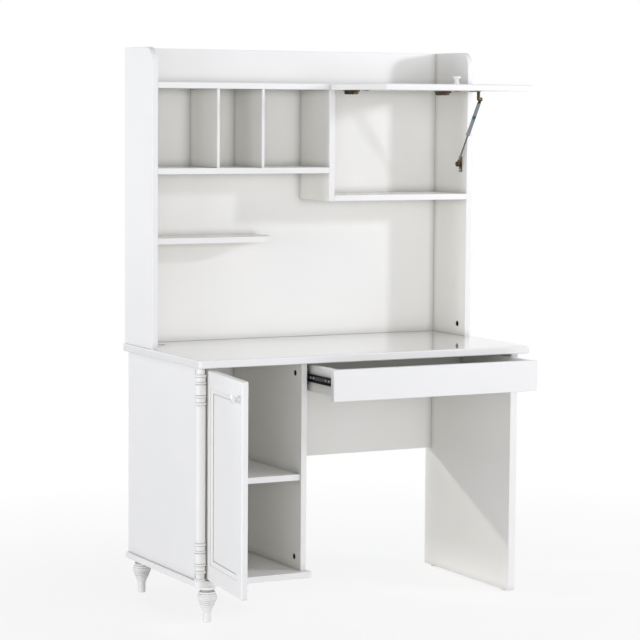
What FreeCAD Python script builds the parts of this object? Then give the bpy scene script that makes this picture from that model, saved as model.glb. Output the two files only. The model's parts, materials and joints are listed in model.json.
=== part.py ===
import FreeCAD, Part
import math
import os

import Sketcher
from FreeCAD import Placement, Rotation, Vector

# Student desk with a hutch: cabinet with a hinged door on the left, drawer over the knee space,
# lift-up flap in the hutch. Millimetres, +Z up, front towards -Y, the desk stands on the floor at Z = 0.
# The door is open, the drawer pulled out and the flap lifted, as in use.

SIZES = {
    "desk_width": 1100,
    "desk_depth": 557,
    "desk_height": 762,
    "top_thick": 23,
    "top_corner": 10,
    "top_edge": 4,
    "board": 18,
    "edge_break": 1,
    "fit": 0.1,
    "side_inset": 17,
    "cabinet_width": 353,
    "cabinet_front": 55.5,
    "back_setback": 17,
    "base_overhang": 9,
    "base_front": 31,
    "base_corner": 20,
    "foot_height": 105,
    "foot_inset": 31.5,
    "foot_bulb": 59,
    "foot_collar": 47,
    "foot_groove": 35,
    "foot_neck": 23.5,
    "foot_toe": 19.5,
    "column_width": 34,
    "column_setback": 50,
    "column_shaft": 30,
    "column_bead": 9,
    "column_quirk": 0.8,
    "column_band": 12,
    "column_barrel": 29,
    "column_neck": 14.5,
    "column_cap": 6,
    "post_depth": 64.5,
    "post_nose": 7.5,
    "shelf_rise": 267,
    "shelf_gap": 0.5,
    "pin_radius": 2.5,
    "pin_length": 16,
    "leg_thick": 24,
    "leg_setback": 42,
    "glide_height": 5,
    "glide_radius": 10,
    "glide_spigot": 2.5,
    "modesty_height": 353,
    "hole_width": 50,
    "hole_from_left": 68,
    "hole_from_back": 102,
    "grommet_lip": 5,
    "grommet_wall": 2.5,
    "hutch_height": 889,
    "hutch_depth": 209,
    "hutch_inset": 5,
    "hutch_corner": 45,
    "hutch_back_thick": 8,
    "tray_rise": 769,
    "cubby_rise": 516,
    "cupboard_rise": 431,
    "corner_shelf_rise": 306.5,
    "corner_shelf_width": 417,
    "corner_shelf_depth": 149,
    "corner_shelf_round": 60,
    "cubby_span": 568,
    "left_cubby": 193,
    "middle_cubby": 140,
    "divider": 8,
    "cam_radius": 8.5,
    "cam_depth": 12,
    "cam_sink": 0.4,
    "door_gap": 1.5,
    "door_reveal": 2,
    "door_foot_gap": 1,
    "door_head_gap": 9,
    "door_open": 97,
    "door_edge": 5,
    "stile": 42,
    "rail": 48,
    "moulding": 14,
    "recess": 5,
    "recess_step": 1.2,
    "panel_groove": 2.5,
    "panel_groove_depth": 1.2,
    "knob_length": 24,
    "knob_radius": 13,
    "knob_neck": 5.75,
    "knob_base": 10,
    "knob_from_edge": 21,
    "knob_from_top": 50,
    "flap_knob_from_edge": 30,
    "screw_radius": 2,
    "screw_head": 4.5,
    "hinge_inset": 90,
    "cup_radius": 17.5,
    "cup_wall": 0.8,
    "cup_offset": 12.5,
    "hinge_pin": 1.5,
    "running_fit": 0.05,
    "hinge_sheet": 1.2,
    "arm_reach": 75,
    "drawer_height": 91.5,
    "drawer_out": 151,
    "drawer_length": 400,
    "drawer_wall": 12,
    "drawer_side_height": 79,
    "drawer_floor": 5,
    "drawer_floor_rise": 9,
    "groove": 6,
    "slide_gap": 12.7,
    "slide_length": 350,
    "slide_height": 35,
    "slide_drop": 47,
    "slide_sheet": 1.2,
    "ball_radius": 2.4,
    "ball_play": 0.15,
    "cage_length": 96,
    "cage_sheet": 0.8,
    "flap_drop": 346,
    "flap_side_gap": 1,
    "strut_inset": 11,
    "strut_arm": 84,
    "strut_stand_off": 25,
    "strut_back": 48,
    "strut_fall": 237,
    "strut_radius": 5.5,
    "strut_length": 118,
    "strut_neck": 14,
    "rod_radius": 2.75,
    "rod_length": 122,
    "eye_radius": 8,
    "upper_eye_radius": 6,
    "eye_thick": 9,
    "stud_radius": 2.5,
    "plate": 2,
}

BEAD_BEND = 0.56
BEAD_RISE = BEAD_BEND - math.sqrt(BEAD_BEND ** 2 - 0.25)


class Size:
    """A number together with the sheet formula it comes from."""

    def __init__(self, value, formula=None):
        self.value = value
        self.formula = formula or repr(value)

    def __add__(self, other):
        other = as_size(other)
        return Size(self.value + other.value, f"({self.formula} + {other.formula})")

    def __sub__(self, other):
        other = as_size(other)
        return Size(self.value - other.value, f"({self.formula} - {other.formula})")

    def __mul__(self, other):
        other = as_size(other)
        return Size(self.value * other.value, f"({self.formula} * {other.formula})")

    def __truediv__(self, other):
        other = as_size(other)
        return Size(self.value / other.value, f"({self.formula} / {other.formula})")

    def __neg__(self):
        return Size(-self.value, f"(0 - {self.formula})")


def as_size(number):
    return number if isinstance(number, Size) else Size(number)


def cosine(angle):
    return Size(math.cos(math.radians(angle.value)), f"cos({angle.formula} * 1 deg)")


def sine(angle):
    return Size(math.sin(math.radians(angle.value)), f"sin({angle.formula} * 1 deg)")


def square_root(number):
    return Size(math.sqrt(number.value), f"sqrt({number.formula})")


def lean_of(run, rise):
    degrees = math.degrees(math.atan2(run.value, rise.value))
    return Size(degrees, f"atan({run.formula} / {rise.formula}) / 1 deg")


doc = FreeCAD.newDocument("student_desk")
sheet = doc.addObject("Spreadsheet::Sheet", "Sizes")
for row, (alias, value) in enumerate(SIZES.items(), start=1):
    sheet.set(f"A{row}", alias)
    sheet.set(f"B{row}", str(value))
    sheet.setAlias(f"B{row}", alias)
doc.recompute()


class Sheet:
    """The named sizes, each as a Size bound to its cell."""

    def __getattr__(self, alias):
        return Size(SIZES[alias], f"Sizes.{alias}")


S = Sheet()
nodes = {}


def bind(item, path, size):
    item.setExpression(path, as_size(size).formula)


def point_of(corner):
    return Vector(*[as_size(number).value for number in corner])


def bind_point(item, path, corner):
    for axis, number in zip("xyz", corner):
        bind(item, f"{path}.{axis}", number)


class Frame:
    """A place that bodies are drawn in: an origin, and a turn about an axis through it."""

    def __init__(self, origin, turn=None, axis=None, angle=None):
        self.origin = origin
        self.axis = axis
        self.angle = angle
        self.turn = turn or Rotation()

    def hold(self, body):
        turn = Rotation(self.axis, self.angle.value) if self.angle else self.turn
        body.Placement = Placement(point_of(self.origin), turn)
        bind_point(body, "Placement.Base", self.origin)
        if self.angle:
            bind(body, "Placement.Rotation.Angle", self.angle)


def new_body(name, frame=None):
    body = doc.addObject("PartDesign::Body", name)
    body.Label = name
    if frame:
        frame.hold(body)
    return body


def arc_middle(start, end, bend):
    chord = end - start
    rise = abs(bend) - math.sqrt(bend ** 2 - chord.Length ** 2 / 4)
    outward = Vector(chord.y, -chord.x, 0).normalize()
    return (start + end) / 2 + outward * math.copysign(rise, bend)


def outline(body, plane, points, shift=None):
    """Closed sketch through points (x, y) or (x, y, bend): bend is the arc radius leading to the point,
    above zero where the arc swells to the right of the way round."""
    sketch = body.newObject("Sketcher::SketchObject", f"{body.Name}_outline")
    support = [item for item in body.Origin.OriginFeatures if item.Role == plane][0]
    sketch.AttachmentSupport = [(support, "")]
    sketch.MapMode = "FlatFace"
    if shift:
        sketch.AttachmentOffset = Placement(point_of(shift), Rotation())
        bind_point(sketch, "AttachmentOffset.Base", shift)
    places = [Vector(as_size(point[0]).value, as_size(point[1]).value, 0) for point in points]
    count = len(points)
    ends = []
    for index in range(count):
        target = (index + 1) % count
        start, end = places[index], places[target]
        swapped = False
        if len(points[target]) == 3:
            bend = points[target][2].value
            sketch.addGeometry(Part.Arc(start, arc_middle(start, end, bend), end), False)
            swapped = bend < 0
        else:
            sketch.addGeometry(Part.LineSegment(start, end), False)
        ends.append((2, 1) if swapped else (1, 2))
    for index in range(count):
        target = (index + 1) % count
        sketch.addConstraint(
            Sketcher.Constraint("Coincident", index, ends[index][1], target, ends[target][0]))
    for index, point in enumerate(points):
        for kind, number in zip(("DistanceX", "DistanceY"), point[:2]):
            number = as_size(number)
            rule = Sketcher.Constraint(kind, -1, 1, index, ends[index][0], number.value)
            bind(sketch, f"Constraints[{sketch.addConstraint(rule)}]", number)
        if len(point) == 3:
            bend = point[2] if point[2].value > 0 else -point[2]
            rule = Sketcher.Constraint("Radius", (index - 1) % count, bend.value)
            bind(sketch, f"Constraints[{sketch.addConstraint(rule)}]", bend)
    return sketch


def pad(body, sketch, length, backwards=False):
    feature = body.newObject("PartDesign::Pad", f"{body.Name}_pad")
    feature.Profile = sketch
    feature.Reversed = backwards
    bind(feature, "Length", length)
    return feature


def rectangle(low, high):
    return [low, (high[0], low[1]), high, (low[0], high[1])]


def block(body, low, high):
    sketch = outline(body, "XY_Plane", rectangle(low[:2], high[:2]), (0, 0, low[2]))
    return pad(body, sketch, high[2] - low[2])


def turned(body, profile, shift=None, plane="XZ_Plane"):
    feature = body.newObject("PartDesign::Revolution", f"{body.Name}_turned")
    feature.Profile = outline(body, plane, profile, shift)
    feature.ReferenceAxis = (feature.Profile[0], ["V_Axis"])
    feature.Angle = 360
    return feature


def edges_at(shape, sign):
    """Names of the edges whose middles lie on the given sides of the shape's box."""
    box = shape.BoundBox
    found = []
    for index, edge in enumerate(shape.Edges, start=1):
        offset = edge.CenterOfMass - box.Center
        parts = zip((offset.x, offset.y, offset.z), (box.XLength, box.YLength, box.ZLength), sign)
        if all(abs(reach / length - side / 2) < 1e-3 for reach, length, side in parts):
            found.append(f"Edge{index}")
    return found


def broad_faces(shape, thin):
    """Names of the two flat faces square to the thin axis that lie outermost along it."""
    box = shape.BoundBox
    limits = {"x": (box.XMin, box.XMax), "y": (box.YMin, box.YMax), "z": (box.ZMin, box.ZMax)}[thin]
    found = []
    for index, face in enumerate(shape.Faces, start=1):
        flat = getattr(face.BoundBox, f"{thin.upper()}Length") < 1e-4
        middle = getattr(face.CenterOfMass, thin)
        if flat and min(abs(middle - limit) for limit in limits) < 1e-4:
            found.append(f"Face{index}")
    return found


def dress(body, kind, base, names, path, size):
    feature = body.newObject(f"PartDesign::{kind}", f"{body.Name}_{kind.lower()}")
    feature.Base = (base, names)
    bind(feature, path, size)
    doc.recompute()
    return feature


def board(name, low, high, thin, rounds=None, soften="Chamfer", edge=None, frame=None):
    """A panel between two corners: rounds maps an edge's side of the box to its radius."""
    body = new_body(name, frame)
    shape = block(body, low, high)
    doc.recompute()
    for sign, radius in (rounds or {}).items():
        shape = dress(body, "Fillet", shape, edges_at(shape.Shape, sign), "Radius", radius)
    path = "Size" if soften == "Chamfer" else "Radius"
    dress(body, soften, shape, broad_faces(shape.Shape, thin), path, edge or S.edge_break)
    nodes[name] = body
    return body


TURNS = {
    "x": Rotation(Vector(0, 1, 0), 90),
    "y": Rotation(Vector(1, 0, 0), -90),
    "z": Rotation(),
}


def rod(body, kind, radius, length, start, axis):
    feature = body.newObject(f"PartDesign::{kind}Cylinder", f"{body.Name}_{kind.lower()}")
    feature.Placement = Placement(point_of(start), TURNS[axis])
    bind_point(feature, "Placement.Base", start)
    bind(feature, "Radius", radius)
    bind(feature, "Height", length)
    return feature


def bore(body, radius, length, start, axis):
    return rod(body, "Subtractive", radius, length, start, axis)


def notch(body, low, high):
    feature = body.newObject("PartDesign::SubtractiveBox", f"{body.Name}_notch")
    feature.Placement = Placement(point_of(low), Rotation())
    bind_point(feature, "Placement.Base", low)
    for path, start, end in zip(("Length", "Width", "Height"), low, high):
        bind(feature, path, as_size(end) - start)
    return feature


def group(name, members):
    bundle = doc.addObject("Part::Compound", name)
    bundle.Label = name
    bundle.Links = members
    nodes[name] = bundle


# Places that several pieces share.

half_board = S.board / 2
left = -S.desk_width / 2
right = S.desk_width / 2
under = S.desk_height - S.top_thick
base_top = S.foot_height + S.board

column_radius = S.column_width / 2
pivot_in = S.side_inset + half_board + column_radius + S.door_gap + half_board
pivot_back = S.cabinet_front - S.door_gap - half_board
door_length = S.side_inset + S.cabinet_width - S.door_reveal - pivot_in
past_square = S.door_open - 90
door_reach = door_length * cosine(past_square) + half_board * sine(past_square) - pivot_back

front = -(S.desk_depth - door_reach) / 2
back = front + S.desk_depth
side_left = left + S.side_inset
side_inner = side_left + S.board
partition_right = side_left + S.cabinet_width
partition_left = partition_right - S.board
leg_right = right - S.side_inset
leg_left = leg_right - S.leg_thick
carcass_front = front + S.cabinet_front
carcass_back = back - S.back_setback
column_x = side_left + half_board
column_y = front + S.column_setback
post_right = left + pivot_in + half_board

# Desktop with its cable hole.

desktop = board("desktop", (left, front, under), (right, back, S.desk_height), "z",
                {(-1, -1, 0): S.top_corner, (1, -1, 0): S.top_corner}, "Fillet", S.top_edge)
hole_x = left + S.hole_from_left
hole_y = back - S.hole_from_back
hole_radius = S.hole_width / 2
bore(desktop, hole_radius + S.fit, S.top_thick * 2, (hole_x, hole_y, under - S.board), "z")

grommet = new_body("cable_grommet", Frame((hole_x, hole_y, S.desk_height)))
lip = hole_radius + S.grommet_lip
turned(grommet, [
    (hole_radius - S.grommet_wall, -S.top_thick),
    (hole_radius, -S.top_thick),
    (hole_radius, 0),
    (lip, 0),
    (lip, S.grommet_wall / 3),
    (lip - S.grommet_wall, S.grommet_wall),
    (hole_radius - S.grommet_wall, S.grommet_wall)])
nodes["cable_grommet"] = grommet

# Cabinet carcass on the left.

side_panel = board("left_side_panel", (side_left, column_y, base_top), (side_inner, back, under), "x")
post = board("corner_post", (side_inner, carcass_front, base_top),
             (post_right, carcass_front + S.post_depth, under), "x")
nose_right = left + pivot_in - half_board * 0.6
block(post, (side_inner, carcass_front - S.post_nose, base_top),
      (nose_right, carcass_front + S.door_gap, under))
bore(post, half_board + S.door_gap * 0.4, S.desk_height, (left + pivot_in, front + pivot_back, 0), "z")
cove = column_radius + S.fit * 3
for piece in (side_panel, post):
    bore(piece, cove, S.desk_height, (column_x, column_y, 0), "z")

base = board("cabinet_base", (side_left - S.base_overhang, front + S.base_front, S.foot_height),
             (partition_right + S.base_overhang, back, base_top), "z",
             {(-1, -1, 0): S.base_corner, (1, -1, 0): S.base_corner / 2}, "Fillet", S.door_gap)

partition = board("cabinet_partition", (partition_left, carcass_front, base_top),
                  (partition_right, carcass_back, under), "x")
board("cabinet_back", (side_inner, carcass_back - S.board, base_top),
      (partition_left, carcass_back, under), "y")

shelf_low = base_top + S.shelf_rise
shelf = board("cabinet_shelf",
              (side_inner + S.shelf_gap, carcass_front + S.shelf_gap * 13, shelf_low),
              (partition_left - S.shelf_gap, carcass_back - S.board - S.shelf_gap, shelf_low + S.board), "z")
notch(shelf, (side_inner, carcass_front, shelf_low - 1),
      (post_right + S.shelf_gap, carcass_front + S.post_depth + S.shelf_gap, shelf_low + S.board + 1))

pins = []
pin_half = S.pin_length / 2
pin_level = shelf_low - S.pin_radius
pin_back = carcass_back - S.post_depth - S.pin_length
behind_post = carcass_front + S.post_depth + S.pin_length
for panel, face, start, pin_front in (
        (side_panel, side_inner - pin_half, side_inner - pin_half, behind_post),
        (partition, partition_left, partition_left - pin_half, carcass_front + S.stile)):
    for depth in (pin_front, pin_back):
        bore(panel, S.pin_radius + S.fit / 4, pin_half, (face, depth, pin_level), "x")
        pin = new_body(f"shelf_pin_{len(pins) + 1}")
        rod(pin, "Additive", S.pin_radius, S.pin_length, (start, depth, pin_level), "x")
        pins.append(pin)
group("shelf_pins", pins)

# Ring-turned column: the same beads, bands and barrel at both ends of a plain shaft.
# A narrow quirk is cut on either side of every bead.

column_height = under - base_top
shaft_radius = S.column_shaft / 2
bead_core = S.column_bead - S.column_quirk * 2
bead_foot = column_radius - bead_core * BEAD_RISE
bead_bend = bead_core * BEAD_BEND
quirk_radius = shaft_radius - S.column_quirk * 1.5
neck_radius = shaft_radius - S.column_cap / 3

lower_end = [(0, 0), (column_radius, 0), (column_radius, S.column_cap / 2)]
lower_end.append((neck_radius, S.column_cap))
level = S.column_cap + S.column_neck
lower_end.append((neck_radius, level))
for gap, gap_radius in ((S.column_band, shaft_radius), (S.column_barrel, shaft_radius + S.edge_break),
                        (S.column_band, shaft_radius), (None, None)):
    bead_low = level + S.column_quirk
    bead_high = bead_low + bead_core
    lower_end.append((quirk_radius, level))
    lower_end.append((quirk_radius, bead_low))
    lower_end.append((bead_foot, bead_low))
    lower_end.append((bead_foot, bead_high, bead_bend))
    lower_end.append((quirk_radius, bead_high))
    level = level + S.column_bead
    lower_end.append((quirk_radius, level))
    if gap:
        lower_end.append((gap_radius, level))
        level = level + gap
        lower_end.append((gap_radius, level))
lower_end.append((shaft_radius, level + S.column_cap / 2))
upper_end = []
steps = lower_end[1:]
for index in range(len(steps) - 1, -1, -1):
    point = steps[index]
    mirrored = (point[0], column_height - point[1])
    swollen = index + 1 < len(steps) and len(steps[index + 1]) == 3
    upper_end.append(mirrored + (bead_bend,) if swollen else mirrored)
column = new_body("turned_column", Frame((column_x, column_y, base_top)))
turned(column, lower_end + upper_end + [(0, column_height)])
nodes["turned_column"] = column

# Feet: a bulb of rounded rings over a cone, a neck and a small toe. SWELL gives how far the valleys between
# the rings stand out from the neck, from the lowest to the highest.

SWELL = (0.36, 0.47, 0.6, 0.75, 0.88, 0.84, 0.7, 0.55)
toe_radius = S.foot_toe / 2
foot_neck = S.foot_neck / 2
groove_radius = S.foot_groove / 2
collar_radius = S.foot_collar / 2
rings_low = S.foot_height * 0.45
rings_top = S.foot_height * 0.86
ring_height = (rings_top - rings_low) / (len(SWELL) - 1)
valleys = [foot_neck + (S.foot_bulb / 2 - foot_neck) * swell for swell in SWELL]

foot_profile = [
    (0, 0),
    (toe_radius, 0),
    (foot_neck, S.foot_height * 0.03),
    (foot_neck - S.edge_break / 2, S.foot_height * 0.08),
    (foot_neck, S.foot_height * 0.16),
    (foot_neck, S.foot_height * 0.29),
    (valleys[0], rings_low)]
for step in range(1, len(valleys)):
    lean = math.hypot(valleys[step].value - valleys[step - 1].value, ring_height.value) / ring_height.value
    foot_profile.append((valleys[step], rings_low + ring_height * step, ring_height * (BEAD_BEND * lean)))
foot_profile += [
    (groove_radius, rings_top),
    (groove_radius, S.foot_height * 0.88),
    (collar_radius, S.foot_height * 0.93),
    (collar_radius, S.foot_height),
    (0, S.foot_height)]
foot_x = side_left + S.foot_inset
for name, place in (("front_foot", column_y), ("rear_foot", back - S.foot_bulb / 2)):
    foot = new_body(name, Frame((foot_x, place, 0)))
    turned(foot, foot_profile)
    nodes[name] = foot

# Right leg on its two glides, and the modesty panel.

leg_panel = board("right_leg_panel", (leg_left, front + S.leg_setback, S.glide_height),
                  (leg_right, back, under), "x")
leg_x = (leg_left + leg_right) / 2
spigot_top = S.glide_height + S.board - S.plate
glides = []
for y in (front + S.leg_setback + S.stile, back - S.stile):
    bore(leg_panel, S.glide_spigot + S.fit, S.board, (leg_x, y, S.glide_height), "z")
    glide = new_body(f"leg_glide_{len(glides) + 1}", Frame((leg_x, y, 0)))
    turned(glide, [
        (0, 0),
        (S.glide_radius - S.edge_break, 0),
        (S.glide_radius, S.edge_break),
        (S.glide_radius, S.glide_height),
        (S.glide_spigot, S.glide_height),
        (S.glide_spigot, spigot_top),
        (0, spigot_top)])
    glides.append(glide)
group("leg_glides", glides)

board("modesty_panel", (partition_right, carcass_back - S.board, under - S.modesty_height),
      (leg_left, carcass_back, under), "y")

# Hutch.

hutch_front = back - S.hutch_depth
hutch_top = S.desk_height + S.hutch_height
hutch_left = left + S.hutch_inset + S.board
hutch_right = right - S.hutch_inset - S.board
inner_back = back - S.hutch_back_thick
tray = S.desk_height + S.tray_rise

hutch_sides = []
for name, start in (("hutch_left_side", hutch_left - S.board), ("hutch_right_side", hutch_right)):
    hutch_sides.append(board(name, (start, hutch_front, S.desk_height), (start + S.board, back, hutch_top),
                             "x", {(0, -1, 1): S.hutch_corner}))
board("hutch_back", (hutch_left, inner_back, S.desk_height), (hutch_right, back, hutch_top), "y")
board("top_shelf", (hutch_left, hutch_front, tray), (hutch_right, inner_back, tray + S.board), "z")

cubby_floor = S.desk_height + S.cubby_rise
cubby_end = hutch_left + S.cubby_span
board("cubby_shelf", (hutch_left, hutch_front, cubby_floor),
      (cubby_end, inner_back, cubby_floor + S.board), "z")
first_divider = hutch_left + S.left_cubby
second_divider = first_divider + S.divider + S.middle_cubby
for name, start in (("left_cubby_divider", first_divider), ("right_cubby_divider", second_divider)):
    board(name, (start, hutch_front + S.edge_break * 2, cubby_floor + S.board),
          (start + S.divider, inner_back, tray), "x")

cupboard_low = S.desk_height + S.cupboard_rise
cupboard_left = cubby_end + S.board
board("hutch_partition", (cubby_end, hutch_front, cupboard_low), (cupboard_left, inner_back, tray), "x")
board("cupboard_floor", (cupboard_left, hutch_front, cupboard_low),
      (hutch_right, inner_back, cupboard_low + S.board), "z")
corner_low = S.desk_height + S.corner_shelf_rise
board("corner_shelf", (hutch_left, inner_back - S.corner_shelf_depth, corner_low),
      (hutch_left + S.corner_shelf_width, inner_back, corner_low + S.board), "z",
      {(1, -1, 0): S.corner_shelf_round})

# Cam locks: discs sunk in blind holes.

cams = []


def cam_lock(panel, face, way, y, z):
    """A disc in the face at x = face, sunk towards way (-1 or +1)."""
    start = face - S.cam_depth if way < 0 else face
    bore(panel, S.cam_radius + S.fit, S.cam_depth, (start, y, z), "x")
    disc = new_body(f"cam_lock_{len(cams) + 1}")
    place = start if way < 0 else start + S.cam_sink
    rod(disc, "Additive", S.cam_radius, S.cam_depth - S.cam_sink, (place, y, z), "x")
    cams.append(disc)


for panel, face, way in ((hutch_sides[0], hutch_left, -1), (hutch_sides[1], hutch_right, 1)):
    cam_lock(panel, face, way, hutch_front + S.rail, S.desk_height + S.board * 2)
for y in (carcass_front + S.stile, carcass_back - S.post_depth):
    for z in (base_top + S.board * 2, under - S.board * 2):
        cam_lock(partition, partition_left, 1, y, z)
group("cam_locks", cams)

# Concealed hinges, drawn about their own pin. Local x runs along the closed leaf from its hinge edge,
# local y towards the carcass, local z along the pin; the carcass face lies half a board from the pin.

arm_half = S.cup_radius * 0.43
knuckle_half = S.cup_radius * 0.28
knuckle = S.hinge_pin * 1.6
cup_depth = half_board + knuckle + S.cup_wall + S.fit * 4
riser_left = S.cup_offset - 1
riser_right = riser_left + knuckle * 1.5
arm_low = half_board + S.plate
arm_high = arm_low + S.cup_offset - S.door_gap
arm_start = half_board + S.door_gap * 2
plate_start = half_board + S.door_gap * 5
plate_end = S.arm_reach - S.edge_break
cup_inner = S.cup_radius - S.cup_wall
flange_half = S.cup_radius * 1.65
flange_wide = S.cup_offset * 0.8


def upright(body, points, half):
    return pad(body, outline(body, "XY_Plane", points, (0, 0, -half)), half * 2)


def hinge_arm(name, frame):
    body = new_body(name, frame)
    upright(body, [
        (0, -knuckle),
        (riser_right, -knuckle),
        (riser_right, arm_start + S.plate),
        (riser_left, arm_start + S.plate),
        (riser_left, knuckle / 4),
        (0, knuckle / 4)], knuckle_half)
    rod(body, "Additive", knuckle, knuckle_half * 2, (0, 0, -knuckle_half), "z")
    upright(body, [
        (arm_low, arm_start),
        (arm_high - S.plate, arm_start),
        (arm_high, arm_start + S.plate * 3),
        (arm_high, S.arm_reach - S.plate * 3),
        (arm_high - S.plate * 2, S.arm_reach),
        (arm_low, S.arm_reach)], arm_half)
    bore(body, S.hinge_pin + S.running_fit, S.cup_radius, (0, 0, -half_board), "z")
    return body


def hinge_plate(name, frame):
    body = new_body(name, frame)
    upright(body, rectangle((half_board, plate_start), (arm_low, plate_end)), arm_half)
    middle = (plate_start + plate_end) / 2
    upright(body, rectangle((half_board, middle - S.plate * 4), (arm_low, middle + S.plate * 4)),
            S.cup_radius * 1.4)
    return body


def hinge_cup(name, frame):
    body = new_body(name, frame)
    floor = half_board - cup_depth
    turned(body, [
        (0, floor),
        (S.cup_radius, floor),
        (S.cup_radius, half_board),
        (cup_inner, half_board),
        (cup_inner, floor + S.cup_wall),
        (0, floor + S.cup_wall)], (S.cup_offset, 0, 0), "XY_Plane")
    flange = [
        (S.cup_offset - flange_wide, half_board),
        (S.cup_offset + flange_wide, half_board),
        (S.cup_offset + flange_wide, half_board + S.hinge_sheet),
        (S.cup_offset - flange_wide, half_board + S.hinge_sheet)]
    upright(body, flange, flange_half)
    bore(body, cup_inner, cup_depth * 2, (S.cup_offset, floor + S.cup_wall, 0), "y")
    bore(body, S.hinge_pin + S.fit / 5, S.cup_radius * 2, (0, 0, -S.cup_radius), "z")
    return body


def hinge_pin(name, frame):
    body = new_body(name, frame)
    inward = S.cup_offset + S.hinge_pin
    length = square_root(S.cup_radius * S.cup_radius - inward * inward)
    rod(body, "Additive", S.hinge_pin, length * 2, (0, 0, -length), "z")
    return body


def hinge_set(prefix, leaf_frames, carcass_frames):
    """The pieces of a leaf's hinges, each kind as one node."""
    for kind, make, frames in (("cups", hinge_cup, leaf_frames), ("pins", hinge_pin, leaf_frames),
                               ("arms", hinge_arm, carcass_frames), ("plates", hinge_plate, carcass_frames)):
        group(f"{prefix}_hinge_{kind}",
              [make(f"{prefix}_hinge_{kind}_{index}", frame) for index, frame in enumerate(frames, start=1)])


def leaf(name, frame, length, low, high):
    """A door leaf along local x: its hinge edge is a half round about the pin."""
    body = new_body(name, frame)
    block(body, (0, -half_board, low), (length, half_board, high))
    doc.recompute()
    dress(body, "Fillet", body.Tip, edges_at(body.Tip.Shape, (1, -1, 0)), "Radius", S.door_edge)
    for sign in ((0, -1, 1), (0, -1, -1)):
        dress(body, "Fillet", body.Tip, edges_on_face(body.Tip.Shape, sign), "Radius", S.door_edge)
    rod(body, "Additive", half_board, high - low, (0, 0, low), "z")
    nodes[name] = body
    return body


def edges_on_face(shape, sign):
    """Names of the straight edges along x at the given y and z sides."""
    box = shape.BoundBox
    found = []
    for index, edge in enumerate(shape.Edges, start=1):
        middle = edge.CenterOfMass
        along = edge.BoundBox.XLength > box.XLength / 2
        y_limit = box.YMin if sign[1] < 0 else box.YMax
        z_limit = box.ZMin if sign[2] < 0 else box.ZMax
        if along and abs(middle.y - y_limit) < 1e-3 and abs(middle.z - z_limit) < 1e-3:
            found.append(f"Edge{index}")
    return found


def cup_seats(body, places):
    depth = cup_depth + S.fit
    for place in places:
        bore(body, S.cup_radius + S.fit, depth, (S.cup_offset, half_board - depth, place), "y")


def knob(prefix, body, frame, place_x, place_z):
    """A trumpet-shaped knob on the leaf's outer face, with the screw that holds it from inside."""
    face = -half_board
    tall = S.knob_length
    handle = new_body(f"{prefix}_knob", frame)
    rim = S.knob_radius - S.edge_break
    turned(handle, [
        (0, -tall),
        (rim, -tall * 0.93, tall * 3),
        (S.knob_radius, -tall * 0.85, S.edge_break * 3),
        (rim, -tall * 0.77, S.edge_break * 3),
        (S.knob_neck, -tall * 0.4, -tall * 0.7),
        (S.knob_base, -S.edge_break * 2, -tall * 0.6),
        (S.knob_base, 0),
        (0, 0)], (place_x, face, place_z), "XY_Plane")
    bore(handle, S.screw_radius + S.fit / 2, tall / 2, (place_x, face - tall / 2, place_z), "y")
    nodes[f"{prefix}_knob"] = handle
    bore(body, S.screw_radius + S.fit, S.board, (place_x, face, place_z), "y")
    screw = new_body(f"{prefix}_knob_screw", frame)
    rod(screw, "Additive", S.screw_radius, S.board + tall / 2, (place_x, face - tall / 2, place_z), "y")
    rod(screw, "Additive", S.screw_head, S.screw_radius, (place_x, half_board, place_z), "y")
    nodes[f"{prefix}_knob_screw"] = screw


# Cabinet door, standing open.

door_low = base_top + S.door_foot_gap
door_high = under - S.door_head_gap
pivot_x = left + pivot_in
pivot_y = front + pivot_back
door_frame = Frame((pivot_x, pivot_y, 0), axis=Vector(0, 0, 1), angle=-S.door_open)
door = leaf("cabinet_door", door_frame, door_length, door_low, door_high)
door_hinges = (door_low + S.hinge_inset, door_high - S.hinge_inset)
cup_seats(door, door_hinges)
knob("door", door, door_frame, door_length - S.knob_from_edge, door_high - S.knob_from_top)

panel_low = (S.stile - half_board, door_low + S.rail)
panel_high = (door_length - S.stile, door_high - S.rail)


def panel_outline(inset, depth):
    low = (panel_low[0] + inset, panel_low[1] + inset)
    high = (panel_high[0] - inset, panel_high[1] - inset)
    return outline(door, "XZ_Plane", rectangle(low, high), (0, 0, half_board - depth))


edge_step = panel_outline(0, 0)
step_cut = door.newObject("PartDesign::Pocket", "moulding_step")
step_cut.Profile = edge_step
bind(step_cut, "Length", S.recess_step)
slope = door.newObject("PartDesign::SubtractiveLoft", "moulding_slope")
slope.Profile = panel_outline(S.recess_step, S.recess_step)
slope.Sections = [panel_outline(S.moulding - S.recess_step, S.recess - S.recess_step)]
field = door.newObject("PartDesign::Pocket", "panel_field")
field.Profile = panel_outline(S.moulding, 0)
field_depth = S.recess + S.panel_groove_depth
bind(field, "Length", field_depth)
pad(door, panel_outline(S.moulding + S.panel_groove, field_depth), S.panel_groove_depth)

hinge_set("door",
          [Frame((pivot_x, pivot_y, z), axis=Vector(0, 0, 1), angle=-S.door_open) for z in door_hinges],
          [Frame((pivot_x, pivot_y, z)) for z in door_hinges])

# Flap of the hutch cupboard, lifted level.

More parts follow.
